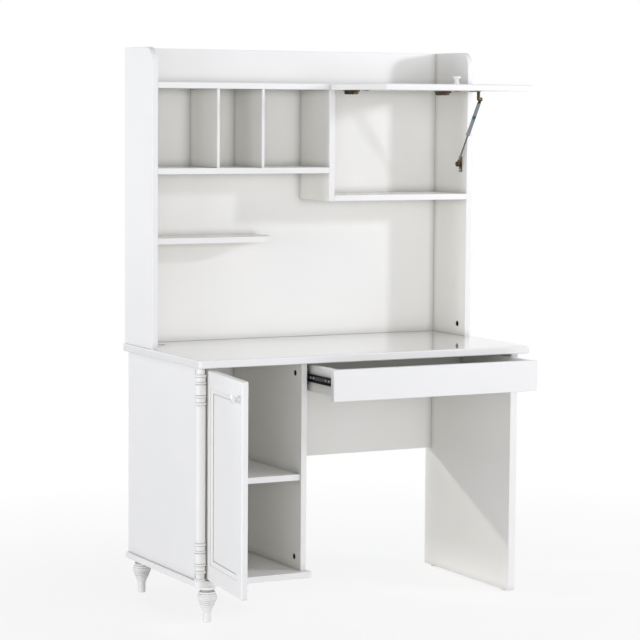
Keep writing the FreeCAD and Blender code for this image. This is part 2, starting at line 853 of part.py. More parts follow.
flap_pivot_y = hutch_front - S.door_gap - half_board
flap_pivot_z = tray + half_board
flap_left = cubby_end + S.shelf_gap
flap_right = hutch_right + S.board - S.flap_side_gap
lifted = Rotation(Vector(0, -1, 0), Vector(0, 0, -1), Vector(1, 0, 0), "XYZ")
hanging = Rotation(Vector(0, 0, -1), Vector(0, 1, 0), Vector(1, 0, 0), "XYZ")
flap_frame = Frame((0, flap_pivot_y, flap_pivot_z), lifted)
flap = leaf("flap_door", flap_frame, S.flap_drop, flap_left, flap_right)
flap_hinges = (flap_left + S.hinge_inset, flap_right - S.hinge_inset)
cup_seats(flap, flap_hinges)
knob("flap", flap, flap_frame, S.flap_drop - S.flap_knob_from_edge, (flap_left + flap_right) / 2)
hinge_set("flap",
          [Frame((x, flap_pivot_y, flap_pivot_z), lifted) for x in flap_hinges],
          [Frame((x, flap_pivot_y, flap_pivot_z), hanging) for x in flap_hinges])

# Gas strut between the hutch side and the flap, drawn upright about its lower stud and leant forward.

strut_x = hutch_right - S.strut_inset
strut_y = flap_pivot_y + S.strut_back
strut_z = flap_pivot_z - S.strut_fall
stand_off = half_board + S.strut_stand_off
run = S.strut_back + S.strut_arm
rise = S.strut_fall - stand_off
strut_reach = square_root(run * run + rise * rise)
strut_frame = Frame((strut_x, strut_y, strut_z), axis=Vector(1, 0, 0), angle=lean_of(run, rise))
eye_half = S.eye_thick / 2
bushing = S.stud_radius + S.running_fit

side_bracket = new_body("strut_side_bracket", Frame((strut_x, strut_y, strut_z)))
plate_x = S.strut_inset - S.plate
block(side_bracket, (plate_x, -S.eye_radius, -S.eye_radius * 3),
      (S.strut_inset, S.eye_radius, S.eye_radius * 3))
rod(side_bracket, "Additive", S.stud_radius * 1.8, plate_x - eye_half - S.shelf_gap,
    (eye_half + S.shelf_gap, 0, 0), "x")
rod(side_bracket, "Additive", S.stud_radius, S.strut_inset + eye_half, (-eye_half - S.edge_break, 0, 0), "x")
rod(side_bracket, "Additive", S.stud_radius * 1.8, S.plate, (-eye_half - S.shelf_gap - S.plate, 0, 0), "x")
nodes["strut_side_bracket"] = side_bracket


def strut_end(name, frame, centre, radius, way, seat):
    """An eye about a stud with a neck towards way, bored where the strut's shank enters it."""
    body = new_body(name, frame)
    rod(body, "Additive", radius, S.eye_thick, (-eye_half, 0, centre), "x")
    start = centre if way > 0 else centre - S.strut_neck
    rod(body, "Additive", eye_half * 0.9, S.strut_neck, (0, 0, start), "z")
    bore(body, bushing, S.eye_thick * 2, (-S.eye_thick, 0, centre), "x")
    if seat:
        bore(body, S.rod_radius + S.fit / 5, S.strut_neck, (0, 0, centre + seat), "z")
    nodes[name] = body


rod_start = S.eye_radius + S.edge_break
strut_end("strut_rod_end", strut_frame, as_size(0), S.eye_radius, 1, rod_start)
strut_rod = new_body("strut_rod", strut_frame)
rod(strut_rod, "Additive", S.rod_radius, S.rod_length, (0, 0, rod_start), "z")
nodes["strut_rod"] = strut_rod

strut_end("strut_cylinder_end", strut_frame, strut_reach, S.upper_eye_radius, -1, None)
barrel_top = strut_reach - S.strut_neck
barrel_low = barrel_top - S.strut_length
ring = S.strut_radius * 1.13
cylinder = new_body("strut_cylinder", strut_frame)
turned(cylinder, [
    (S.rod_radius + S.fit * 0.8, barrel_low),
    (ring, barrel_low),
    (ring, barrel_low + S.strut_radius),
    (S.strut_radius, barrel_low + S.strut_radius + S.edge_break),
    (S.strut_radius, barrel_top - S.edge_break),
    (S.strut_radius - S.edge_break, barrel_top),
    (0, barrel_top),
    (0, barrel_top - S.eye_radius),
    (S.rod_radius + S.fit * 0.8, barrel_top - S.eye_radius)])
nodes["strut_cylinder"] = cylinder

bracket = new_body("strut_flap_bracket", flap_frame)
tab_right = strut_x - eye_half - S.door_gap
tab_left = tab_right - S.plate
ear = S.upper_eye_radius + S.plate
pad(bracket, outline(bracket, "XY_Plane", [
    (S.strut_arm - ear, half_board),
    (S.strut_arm + ear, half_board),
    (S.strut_arm + ear, stand_off),
    (S.strut_arm - ear, stand_off, ear * 1.1)], (0, 0, tab_left)), S.plate)
block(bracket, (S.strut_arm - ear * 1.7, half_board, tab_left - S.eye_radius * 3),
      (S.strut_arm + ear * 1.7, half_board + S.plate, tab_left + S.edge_break))
stud_length = S.plate + S.door_gap - S.fit * 4
rod(bracket, "Additive", S.stud_radius, stud_length, (S.strut_arm, stand_off, tab_left), "z")
nodes["strut_flap_bracket"] = bracket

# Drawer, pulled out.

out = front - S.drawer_out
drawer_front_y = out + S.leg_setback
box_front = drawer_front_y + S.board
box_back = box_front + S.drawer_length
drawer_top = door_high
drawer_low = drawer_top - S.drawer_height
box_low = drawer_top - S.drawer_side_height
box_left = partition_right + S.slide_gap
box_right = leg_left - S.slide_gap
floor_low = box_low + S.drawer_floor_rise
floor_high = floor_low + S.drawer_floor
board("drawer_front", (partition_right + S.door_gap, drawer_front_y, drawer_low),
      (leg_left - S.door_gap, box_front, drawer_top), "y")
for name, start, deep in (("drawer_left_side", box_left, box_left + S.drawer_wall - S.groove),
                          ("drawer_right_side", box_right - S.drawer_wall, box_right - S.drawer_wall)):
    wall = board(name, (start, box_front, box_low), (start + S.drawer_wall, box_back, drawer_top), "x")
    notch(wall, (deep, box_front - 1, floor_low - S.fit),
          (deep + S.groove, box_back + 1, floor_high + S.fit))
inner_left = box_left + S.drawer_wall
inner_right = box_right - S.drawer_wall
board("drawer_back", (inner_left, box_back - S.drawer_wall, floor_high),
      (inner_right, box_back, drawer_top), "y")
floor_inset = S.groove - S.fit * 2
board("drawer_bottom", (inner_left - floor_inset, box_front, floor_low),
      (inner_right + floor_inset, box_back, floor_high), "z", edge=S.edge_break / 4)

# Ball-bearing slides: a rail on the carcass, a runner on the drawer, and caged balls between their lips.

slide_level = under - S.slide_drop
rail_half = S.slide_height / 2
lip_inner = rail_half - S.slide_sheet
ball_level = lip_inner - S.ball_radius - S.ball_play
runner_half = ball_level - S.ball_radius - S.ball_play
rail_start = front + S.leg_setback + S.board + S.plate
runner_start = box_front + S.plate
cage_start = rail_start + (S.slide_length - S.drawer_out - S.cage_length) / 2
lip_end = S.slide_gap - S.slide_sheet * 2
cage_web = S.slide_sheet * 2.5
ball_x = (cage_web + lip_end) / 2 + S.cage_sheet / 2
BALLS = 4


def channel(name, face, way, near, far, half, sheet, start, length):
    """A C section along y: web at near, lips reaching to far, measured from the face towards way."""
    body = new_body(name)
    web = near + sheet if far.value > near.value else near - sheet
    points = [(near, -half), (far, -half), (far, sheet - half), (web, sheet - half),
              (web, half - sheet), (far, half - sheet), (far, half), (near, half)]
    places = [(face + x * way, slide_level + z) for x, z in points]
    pad(body, outline(body, "XZ_Plane", places, (0, 0, -start)), length, True)
    nodes[name] = body
    return body


balls = []
for side, face, way in (("left", partition_right, 1), ("right", leg_left, -1)):
    channel(f"{side}_slide_rail", face, way, as_size(0), lip_end, rail_half, S.slide_sheet,
            rail_start, S.slide_length)
    channel(f"{side}_slide_runner", face, way, S.slide_gap, cage_web + S.slide_sheet, runner_half,
            S.slide_sheet, runner_start, S.slide_length)
    cage_half = ball_level + S.cage_sheet / 2
    cage = channel(f"{side}_ball_cage", face, way, cage_web - S.cage_sheet, lip_end - S.cage_sheet,
                   cage_half, S.cage_sheet, cage_start, S.cage_length)
    for index in range(BALLS):
        y = cage_start + S.cage_length * ((index + 0.5) / BALLS)
        bore(cage, S.ball_radius + S.fit, S.slide_height * 2,
             (face + ball_x * way, y, slide_level - S.slide_height), "z")
        for level in (slide_level - ball_level, slide_level + ball_level):
            ball = doc.addObject("Part::Sphere", f"slide_ball_{len(balls) + 1}")
            ball.Placement = Placement(point_of((face + ball_x * way, y, level)), Rotation())
            bind_point(ball, "Placement.Base", (face + ball_x * way, y, level))
            bind(ball, "Radius", S.ball_radius)
            balls.append(ball)
group("slide_balls", balls)

doc.recompute()
faults = [item.Label for item in doc.Objects if "Invalid" in item.State or "Error" in item.State]
for name, item in nodes.items():
    if item.Shape.isNull() or not item.Shape.isValid() or item.Shape.Volume <= 0:
        faults.append(name)
if faults:
    raise RuntimeError(f"not sound: {faults}")

os.makedirs("parts", exist_ok=True)
for name, item in nodes.items():
    item.Shape.exportStep(f"parts/{name}.step")
print(f"{len(nodes)} nodes written")
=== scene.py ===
# %% [markdown]
# # A white student desk with a hutch
# The desk is lacquered board: a cabinet with a routed door beside a ring-turned column, a drawer on
# ball-bearing slides, and a hutch with a flap that a gas strut holds up. The CAD model already has every panel,
# turning and joint at its true size, so this lesson leaves those meshes alone. It gives each of them its finish,
# and adds what is screwed, pressed or wrapped on afterwards: screw heads, cam faces, seals and the strut's band.

# %% Load the CAD frame
import json
import math

import bmesh
import bpy
from mathutils import Matrix, Vector


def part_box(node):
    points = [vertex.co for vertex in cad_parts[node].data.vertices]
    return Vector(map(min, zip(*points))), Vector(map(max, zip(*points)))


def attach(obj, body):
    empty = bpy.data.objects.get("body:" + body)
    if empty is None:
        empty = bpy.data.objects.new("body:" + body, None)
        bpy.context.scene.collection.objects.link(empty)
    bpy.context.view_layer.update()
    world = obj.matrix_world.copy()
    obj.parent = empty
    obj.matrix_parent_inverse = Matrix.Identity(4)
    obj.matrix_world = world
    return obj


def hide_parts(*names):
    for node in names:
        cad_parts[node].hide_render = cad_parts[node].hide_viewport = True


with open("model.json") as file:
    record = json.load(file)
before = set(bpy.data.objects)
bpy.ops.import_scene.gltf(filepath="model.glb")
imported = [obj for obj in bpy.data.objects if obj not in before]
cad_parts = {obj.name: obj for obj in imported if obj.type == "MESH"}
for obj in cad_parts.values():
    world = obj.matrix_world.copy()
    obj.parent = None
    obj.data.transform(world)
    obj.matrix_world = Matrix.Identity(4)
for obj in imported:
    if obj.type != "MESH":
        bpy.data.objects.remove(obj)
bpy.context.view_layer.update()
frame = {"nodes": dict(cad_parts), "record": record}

# %% [markdown]
# ## The camera
# The photograph looks at the desk from its left front corner, a little above the desktop, through a long lens that
# keeps the uprights nearly parallel. The angles and the focal length were solved from the desk's own corners, so
# they are written here as numbers. A camera looks along its own -Z, so its matrix is built from three directions:
# right, up, and back towards the lens. The photograph is also tilted by less than half a degree.

# %% Camera at the photograph's angle
PICTURE = 640
FOCAL_PIXELS = 2406.878
turn = math.radians(-27.390)
height = math.radians(5.061)
tilt = math.radians(0.414)
aim = Vector((-0.16823, -0.14437, 0.86524))
away = 6.9598

back = Vector((math.sin(turn) * math.cos(height), -math.cos(turn) * math.cos(height), math.sin(height)))
level_right = Vector((math.cos(turn), math.sin(turn), 0))
level_up = back.cross(level_right)
right = level_right * math.cos(tilt) + level_up * math.sin(tilt)
up = level_up * math.cos(tilt) - level_right * math.sin(tilt)

lens = bpy.data.cameras.new("camera")
lens.sensor_width = 36
lens.lens = FOCAL_PIXELS * lens.sensor_width / PICTURE
lens.clip_end = 100
camera = bpy.data.objects.new("camera", lens)
bpy.context.scene.collection.objects.link(camera)
camera.matrix_world = Matrix.Translation(aim + back * away) @ Matrix((right, up, back)).transposed().to_4x4()
bpy.context.scene.camera = camera
print(f"camera at {tuple(round(v, 3) for v in camera.matrix_world.translation)}, lens {lens.lens:.1f} mm")

# %% [markdown]
# ## A way to build node trees
# The world, the floor and every finish are node trees. Written out, each node takes a line to add it and one more
# for each setting and link, and the idea gets lost among them. So a few helpers come first: one adds a node with its
# settings, values and links, two more cover the nodes that come up most, and one starts a blank finish, with its
# shader and the object coordinates that place a pattern in metres on the piece.

# %% Helpers for node trees
def add(tree, kind, wires=None, **settings):
    """A node with its plain settings, its socket values, and links from other nodes' outputs."""
    node = tree.nodes.new("ShaderNode" + kind)
    for name, value in settings.items():
        setattr(node, name, value)
    for socket, value in (wires or {}).items():
        if isinstance(value, bpy.types.NodeSocket):
            tree.links.new(value, node.inputs[socket])
        else:
            node.inputs[socket].default_value = value
    return node


def maths(tree, operation, first, second=0.0):
    return add(tree, "Math", {0: first, 1: second}, operation=operation).outputs[0]


def remap(tree, value, low, high, start=0.35, end=0.65):
    """Start to end becomes low to high. Noise seldom leaves the middle of its range, hence the defaults."""
    node = add(tree, "MapRange", {"Value": value, "From Min": start, "From Max": end, "To Min": low, "To Max": high})
    return node.outputs["Result"]


def blank_finish(name):
    finish = bpy.data.materials.new(name)
    finish.use_nodes = True
    tree = finish.node_tree
    return finish, tree, tree.nodes["Principled BSDF"], add(tree, "TexCoord").outputs["Object"]


print("node helpers ready")

# %% [markdown]
# ## A white room
# White boards need light from many sides, or their shaded insides turn to mud. So the studio around this desk is a
# white room at a low level. A room strong enough to look white in the picture would light the desk far too much, so
# camera and mirror rays see plain white in its place. The Light Path node tells those rays from the others.

# %% World
bpy.context.scene.view_settings.view_transform = "Standard"

world = bpy.data.worlds.new("white_studio")
bpy.context.scene.world = world
world.use_nodes = True
sky = world.node_tree
room_light = sky.nodes["Background"]
room_light.inputs["Color"].default_value = (0.96, 0.99, 1.10, 1)
room_light.inputs["Strength"].default_value = 0.38
seen_white = add(sky, "Background", {"Color": (1, 1, 1, 1), "Strength": 1})
rays = add(sky, "LightPath").outputs
straight_or_mirrored = maths(sky, "MAXIMUM", rays["Is Camera Ray"], rays["Is Glossy Ray"])
looking = maths(sky, "MAXIMUM", straight_or_mirrored, rays["Is Transmission Ray"])
choose = add(sky, "MixShader", {0: looking, 1: room_light.outputs[0], 2: seen_white.outputs[0]})
sky.links.new(choose.outputs[0], sky.nodes["World Output"].inputs["Surface"])
print("world:", world.name)

# %% [markdown]
# ## Lamps for white furniture
# Each face of the desk must keep its own tone, or the desk looks like paper. Six large soft lamps see to that: in
# front, on the left, two between them, one higher up on the right, and one for the back. They stand far off, so
# near and far boards get nearly the same light.
#
# Two small lamps draw the shadows. The one at the right front throws the flap's shadow on the hutch's back panel. The
# other is a spot behind the desk on the left: its narrow cone passes under the modesty panel and puts a slanting line
# on the right leg, and leaves the door and the left side alone. The slopes of both shadows in the photograph gave
# their places.

# %% Lamps
SPOT_EDGE = 0.3


def studio_lamp(name, place, look_at, size, watts, colour, cone=None):
    """A round lamp, or a spot if it has a cone. It shines along its own -Z, so +Z is turned away from its aim."""
    light = bpy.data.lights.new(name, "SPOT" if cone else "AREA")
    if cone:
        light.spot_size, light.spot_blend, light.shadow_soft_size = cone, SPOT_EDGE, size / 2
    else:
        light.shape, light.size = "DISK", size
    light.energy = watts
    light.color = colour
    lamp = bpy.data.objects.new(name, light)
    bpy.context.scene.collection.objects.link(lamp)
    lamp.matrix_world = (Matrix.Translation(place)
                         @ (place - look_at).to_track_quat("Z", "Y").to_matrix().to_4x4())


SOFT_DISTANCE = 14.0
WIDE, NARROW = 5.1, 2.6
COOL = (0.955, 0.972, 1.065)
desk_centre = Vector((0.0, 0.05, 0.85))
for name, round_right, upwards, size, watts in (
        ("front", 0, 2, WIDE, 448), ("near_left", -30, 2, WIDE, 185), ("half_left", -60, 2, WIDE, 210),
        ("left", -90, 1, NARROW, 675), ("right", 60, 33, WIDE, 250), ("back", 180, 2, WIDE, 600)):
    around, above = math.radians(round_right), math.radians(upwards)
    way = Vector((math.sin(around) * math.cos(above), -math.cos(around) * math.cos(above), math.sin(above)))
    studio_lamp(name + "_softbox", desk_centre + way * SOFT_DISTANCE, desk_centre, size, watts, COOL)
studio_lamp("key_lamp", Vector((2.055, -1.630, 1.885)), look_at=Vector((0.0, 0.3, 1.15)), size=0.26, watts=19.5,
            colour=(0.955, 0.965, 1.08))
studio_lamp("leg_spot", Vector((-2.080, 2.687, 1.513)), look_at=Vector((0.506, 0.10, 0.25)), size=0.09, watts=125,
            colour=(1.04, 1.00, 0.93), cone=math.radians(14))

# %% [markdown]
# ## The floor
# The desk stands on a pale sweep that the photograph shows as plain white. A floor lit by the same lamps would be a
# shade darker than the white behind it and end in a visible line. So the camera sees a mix of the lit floor, which
# keeps the desk's shadow, and plain white. The share of white grows outwards until it meets the background unseen.

# %% Floor disc
FLOOR_RADIUS = 9.0
FADE_FROM, FADE_TO = 0.7, 2.4
WHITE_NEAR, WHITE_FAR = 0.80, 1.0
floor_mesh = bmesh.new()
bmesh.ops.create_circle(floor_mesh, cap_ends=True, segments=96, radius=FLOOR_RADIUS)
floor_data = bpy.data.meshes.new("floor")
floor_mesh.to_mesh(floor_data)
floor_mesh.free()
floor = bpy.data.objects.new("floor", floor_data)
bpy.context.scene.collection.objects.link(floor)

sweep, tree, paper, place = blank_finish("pale_sweep")
paper.inputs["Base Color"].default_value = (0.93, 0.92, 0.90, 1)
paper.inputs["Roughness"].default_value = 0.9
how_far = add(tree, "VectorMath", {0: place}, operation="LENGTH").outputs["Value"]
white_share = remap(tree, how_far, WHITE_NEAR, WHITE_FAR, FADE_FROM, FADE_TO)
seen = maths(tree, "MULTIPLY", white_share, add(tree, "LightPath").outputs["Is Camera Ray"])
glow = add(tree, "Emission", {"Strength": 1})
blend_white = add(tree, "MixShader", {0: seen, 1: paper.outputs[0], 2: glow.outputs[0]})
tree.links.new(blend_white.outputs[0], tree.nodes["Material Output"].inputs["Surface"])
floor.data.materials.append(sweep)
print(f"floor disc of {FLOOR_RADIUS} m")

# %% [markdown]
# ## Effects that several finishes share
# The skin of sprayed lacquer is the same on boards, turnings and knobs, and only its values differ. Such an effect is
# a node group with named inputs, so it is drawn once and each finish states its own values. Three more helpers cover
# what happens inside: a noise, a colour made darker, and a blend of two colours.

# %% Helpers for shared effects
def shared_effect(name, inputs, outputs):
    group = bpy.data.node_groups.new(name, "ShaderNodeTree")
    for label, kind in inputs:
        group.interface.new_socket(label, in_out="INPUT", socket_type="NodeSocket" + kind)
    for label, kind in outputs:
        group.interface.new_socket(label, in_out="OUTPUT", socket_type="NodeSocket" + kind)
    return group, group.nodes.new("NodeGroupInput").outputs, group.nodes.new("NodeGroupOutput").inputs


def noise(tree, place, scale, detail, roughness=0.5):
    wires = {"Vector": place, "Scale": scale, "Detail": detail, "Roughness": roughness}
    return add(tree, "TexNoise", wires).outputs["Fac"]


def scaled(tree, colour, amount):
    return add(tree, "VectorMath", {0: colour, "Scale": amount}, operation="SCALE").outputs["Vector"]


def blend(tree, amount, first, second):
    """A Mix node has sockets for each kind of data. Inputs 6 and 7 and output 2 are those for colours."""
    return add(tree, "Mix", {"Factor": amount, 6: first, 7: second}, data_type="RGBA").outputs[2]


print("effect helpers ready")

# %% [markdown]
# ## Shared effect: sprayed lacquer
# Sprayed white lacquer is never one flat white. Its film is a little thicker in some places, which shifts the tone
# by a percent or two over a hand's width; its sheen varies where it was rubbed; and under raking light it shows
# orange peel, waves of a few millimetres and a few microns. A bitmap would give all this too, but noise at three
# sizes has no seams and needs no file.

# %% Lacquer skin group
FILM_WAVES, RUB_WAVES, PEEL_WAVES = 2.6, 21.0, 380.0
lacquer_skin, given, gives = shared_effect(
    "lacquer_skin",
    [("Place", "Vector"), ("Paint", "Color"), ("Tone", "Float"), ("Sheen", "Float"), ("Rubbed", "Float")],
    [("Color", "Color"), ("Roughness", "Float"), ("Peel", "Float")])
thin_film = remap(lacquer_skin, noise(lacquer_skin, given["Place"], FILM_WAVES, detail=3.0), 1.0, 0.0)
kept = maths(lacquer_skin, "SUBTRACT", 1.0, maths(lacquer_skin, "MULTIPLY", thin_film, given["Tone"]))
rub = remap(lacquer_skin, noise(lacquer_skin, given["Place"], RUB_WAVES, detail=4.0), 0.0, 1.0)
rubbed = maths(lacquer_skin, "MULTIPLY", rub, given["Rubbed"])
lacquer_skin.links.new(scaled(lacquer_skin, given["Paint"], kept), gives["Color"])
lacquer_skin.links.new(maths(lacquer_skin, "ADD", given["Sheen"], rubbed), gives["Roughness"])
lacquer_skin.links.new(noise(lacquer_skin, given["Place"], PEEL_WAVES, detail=1.0), gives["Peel"])
print("effect:", lacquer_skin.name)

# %% [markdown]
# ## Shared effect: plated and coated metal
# The hinges, slides, strut and cams are stamped or cast metal with a thin plating. What tells them from plastic is a
# cloudy tone where the plating is uneven, hairlines from the die and from fingers, and a roughness that follows
# both. Stretching a noise along one direction makes hairlines; the Stretch input turns them along each piece.

# %% Plated metal group
CLOUD_WAVES = 85.0
PATCH_FROM, PATCH_TO = 0.4, 0.72
SCUFF = 0.16
plated_skin, given, gives = shared_effect(
    "plated_skin",
    [("Place", "Vector"), ("Stretch", "Vector"), ("Plate", "Color"), ("Bare", "Color"), ("Worn", "Float"),
     ("Sheen", "Float")],
    [("Color", "Color"), ("Roughness", "Float"), ("Hairline", "Float")])
clouds = noise(plated_skin, given["Place"], CLOUD_WAVES, detail=4.0, roughness=0.6)
patches = remap(plated_skin, clouds, 0.0, 1.0, PATCH_FROM, PATCH_TO)
worn = maths(plated_skin, "MULTIPLY", patches, given["Worn"])
drawn_out = add(plated_skin, "VectorMath", {0: given["Place"], 1: given["Stretch"]}, operation="MULTIPLY")
hairs = noise(plated_skin, drawn_out.outputs["Vector"], 1.0, detail=3.0)
scuffed = maths(plated_skin, "MULTIPLY", hairs, SCUFF)
plated_skin.links.new(blend(plated_skin, worn, given["Plate"], given["Bare"]), gives["Color"])
plated_skin.links.new(maths(plated_skin, "ADD", given["Sheen"], scuffed), gives["Roughness"])
plated_skin.links.new(hairs, gives["Hairline"])
print("effect:", plated_skin.name)

# %% [markdown]
# ## White finishes
# Five finishes share one white paint. The boards are satin, so they blur what they reflect, and the door is a satin
# board with routed grooves. The desktop is polished and mirrors the hutch at this low angle. The turned column and
# feet have a little more sheen than the boards, and the knobs are glazed. The paint is very slightly warm, so that
# the insides, where light bounces many times, turn warmer than the outside, as in the photograph.
#
# In grooves, inner corners and where two boards meet, the paint is darkened as painted shade. The Ambient Occlusion
# node measures how much of the near surroundings is covered, and that draws a soft grey line of painted shade in each
# ring of the turnings, round the door's raised field and where two boards meet. Turnings, knobs and door only look
# for their own grooves.

# %% Lacquered whites
MM = 0.001
WARM_WHITE = (0.892, 0.878, 0.820, 1)
COVERED, OPEN_SKY = 0.3, 0.95
COAT_ROUGHNESS = 0.05


def lacquer(name, tone, sheen, rubbed, peel_depth, coat=0.0, crease_shade=0.30, reach=5 * MM, own_creases=False):
    finish, tree, shader, place = blank_finish(name)
    skin = add(tree, "Group", {"Place": place, "Paint": WARM_WHITE, "Tone": tone, "Sheen": sheen, "Rubbed": rubbed},
               node_tree=lacquer_skin).outputs
    waves = add(tree, "Bump", {"Height": skin["Peel"], "Strength": 0.5, "Distance": peel_depth})
    # Painted shade: Ambient Occlusion darkens the paint in grooves, inner corners and where boards meet.
    nearby = add(tree, "AmbientOcclusion", {"Distance": reach}, samples=6, only_local=own_creases).outputs["AO"]
    painted_crease_shade = remap(tree, nearby, 1 - crease_shade, 1.0, COVERED, OPEN_SKY)
    tree.links.new(scaled(tree, skin["Color"], painted_crease_shade), shader.inputs["Base Color"])
    tree.links.new(skin["Roughness"], shader.inputs["Roughness"])
    tree.links.new(waves.outputs["Normal"], shader.inputs["Normal"])
    shader.inputs["Coat Weight"].default_value = coat
    shader.inputs["Coat Roughness"].default_value = COAT_ROUGHNESS
    return finish


satin_board = lacquer("satin_board", 0.020, 0.34, 0.10, 0.10 * MM, reach=25 * MM)
routed_door = lacquer("routed_door", 0.020, 0.34, 0.10, 0.10 * MM, crease_shade=0.55, reach=7 * MM, own_creases=True)
polished_top = lacquer("polished_top", 0.004, 0.06, 0.015, 0.02 * MM, coat=1.0)
sprayed_turning = lacquer("sprayed_turning", 0.030, 0.30, 0.12, 0.12 * MM, crease_shade=0.60, reach=10 * MM,
                          own_creases=True)
glazed_knob = lacquer("glazed_knob", 0.010, 0.14, 0.06, 0.04 * MM, coat=0.5, crease_shade=0.60, reach=10 * MM,
                      own_creases=True)
print("white finishes:", [m.name for m in (satin_board, routed_door, polished_top, sprayed_turning, glazed_knob)])

# %% [markdown]
# ## Moulded plastic
# The cable grommet and the two glides under the right leg are moulded nylon. It is a cooler, greyer white than the
# lacquer, and its surface has the fine even grain that spark erosion leaves in a mould. A Voronoi texture at under
# a millimetre gives that grain. The strut's black seal and sleeve and its blue band follow the same recipe.

# %% Moulded white, black and blue
GRAIN_CELLS, MOULD_CLOUDS = 1700.0, 60.0
DARKER = 0.94
SHEEN_SPREAD = 0.12


def moulded(name, colour, sheen):
    finish, tree, shader, place = blank_finish(name)
    grain = add(tree, "TexVoronoi", {"Vector": place, "Scale": GRAIN_CELLS}).outputs["Distance"]
    cloud = noise(tree, place, MOULD_CLOUDS, detail=3.0)
    shade = tuple(c * DARKER for c in colour[:3]) + (1,)
    relief = add(tree, "Bump", {"Height": grain, "Strength": 0.3, "Distance": 0.08 * MM})
    tree.links.new(blend(tree, remap(tree, cloud, 0.0, 1.0), colour, shade), shader.inputs["Base Color"])
    tree.links.new(remap(tree, cloud, sheen, sheen + SHEEN_SPREAD), shader.inputs["Roughness"])
    tree.links.new(relief.outputs["Normal"], shader.inputs["Normal"])
    return finish


moulded_white = moulded("moulded_white", (0.80, 0.80, 0.79, 1), 0.38)
black_rubber = moulded("black_rubber", (0.018, 0.018, 0.019, 1), 0.55)
blue_wrap = moulded("blue_wrap", (0.014, 0.085, 0.150, 1), 0.30)
print("moulded finishes:", moulded_white.name, black_rubber.name, blue_wrap.name)

# %% [markdown]
# ## Metals
# The hinges and strut ends have an antique bronze plating that is brown in the hollows and yellower where it is
# handled. The slides are black zinc, the cams dark cast zinc, the screws bright zinc, the strut's rod is chromed and
# its tube is painted silver. Metal shows its surroundings, and this studio is white on all sides, so most base
# colours are set darker than the metals' names suggest. That is a painted reflection of the darker room they would
# mirror, and only the screws stay bright. A photographer would also put black flags beside the camera to draw the
# outline of bright metal. There are no flags here: Layer Weight paints their dark reflection into the colour. It is 0
# where a face looks at the camera and 1 at its outline, so the tone falls towards the edges.

# %% Plated metals
CLEAR_SKIN = 0.15
HAIRLINE_DEPTH = 0.04 * MM
FLAG_FROM, FLAG_TO = 0.25, 0.85
EVEN = (700.0, 700.0, 700.0)
ALONG_Y = (1500.0, 60.0, 1500.0)


def plated_start(name, plate, bare, worn, sheen, stretch, metallic):
    """What all metals share. The colour is left to be linked."""
    finish, tree, shader, place = blank_finish(name)
    skin = add(tree, "Group", {"Place": place, "Stretch": stretch, "Plate": plate, "Bare": bare, "Worn": worn,
                               "Sheen": sheen}, node_tree=plated_skin).outputs
    tree.links.new(skin["Roughness"], shader.inputs["Roughness"])
    shader.inputs["Metallic"].default_value = metallic
    shader.inputs["Specular IOR Level"].default_value = CLEAR_SKIN
    return finish, tree, shader, place, skin


def plated(name, plate, bare, worn, sheen, stretch=EVEN, metallic=1.0, rim=0.75):
    finish, tree, shader, _, skin = plated_start(name, plate, bare, worn, sheen, stretch, metallic)
    hairs = add(tree, "Bump", {"Height": skin["Hairline"], "Strength": 0.4, "Distance": HAIRLINE_DEPTH})
    facing = add(tree, "LayerWeight", {"Blend": 0.5}).outputs["Facing"]
    # Painted dark reflection: the colour falls towards each outline as if black flags beside the camera were mirrored
    # there.
    painted_flag_reflection = scaled(tree, skin["Color"], remap(tree, facing, 1.0, 1 - rim, FLAG_FROM, FLAG_TO))
    tree.links.new(painted_flag_reflection, shader.inputs["Base Color"])
    tree.links.new(hairs.outputs["Normal"], shader.inputs["Normal"])
    return finish


BLACK_PLATE = (0.010, 0.010, 0.011, 1)
BLACK_BARE = (0.040, 0.040, 0.042, 1)
bronze = plated("antique_bronze", (0.105, 0.066, 0.038, 1), (0.400, 0.285, 0.165, 1), 0.8, 0.22, rim=0.85)
black_zinc = plated("black_zinc", BLACK_PLATE, BLACK_BARE, 0.5, 0.30, ALONG_Y, metallic=0.4)
cast_zinc = plated("dark_cast_zinc", (0.005, 0.005, 0.005, 1), (0.016, 0.016, 0.017, 1), 0.6, 0.42, metallic=0.4)
bright_zinc = plated("bright_zinc", (0.800, 0.800, 0.805, 1), (0.900, 0.895, 0.880, 1), 0.7, 0.20, metallic=0.5,
                     rim=0.4)
chromed = plated("chromed_rod", (0.250, 0.255, 0.262, 1), (0.330, 0.330, 0.335, 1), 0.5, 0.08, rim=0.9)
silver_paint = plated("silver_paint", (0.300, 0.310, 0.330, 1), (0.460, 0.470, 0.485, 1), 0.6, 0.22, metallic=0.8,
                      rim=0.95)
print("metals:", [m.name for m in (bronze, black_zinc, cast_zinc, bright_zinc, chromed, silver_paint)])

# %% [markdown]
# ## The slide's runner
# The runner of a ball slide is a black channel. Its lips stay black, and a grey band along the middle of its web is a
# painted highlight: the line of light that the black metal reflects there. The band lies at one height, so the
# distance from the runner's middle, taken from the object coordinates, says how much grey is painted over the black.

# %% Runner with a painted glint
GLINT_GREY = (0.150, 0.155, 0.160, 1)
GLINT_SHARE = 0.85
WEB_EDGE, LIP_EDGE = 4.0 * MM, 5.5 * MM
low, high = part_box("left_slide_runner")
runner_middle = (low.z + high.z) / 2
painted_glint_runner, tree, shader, place, skin = plated_start("painted_glint_runner", BLACK_PLATE, BLACK_BARE, 0.5, 0.30, ALONG_Y, 0.4)
level = add(tree, "SeparateXYZ", {0: place}).outputs["Z"]
off_middle = maths(tree, "ABSOLUTE", maths(tree, "SUBTRACT", level, runner_middle))
# Painted highlight: a grey band at the runner's middle height stands in for the line of light the black metal
# reflects.
painted_glint_band = remap(tree, off_middle, GLINT_SHARE, 0.0, WEB_EDGE, LIP_EDGE)
tree.links.new(blend(tree, painted_glint_band, skin["Color"], GLINT_GREY), shader.inputs["Base Color"])
print(f"painted glint band at {runner_middle:.4f} m of a runner {high.z - low.z:.4f} m tall")
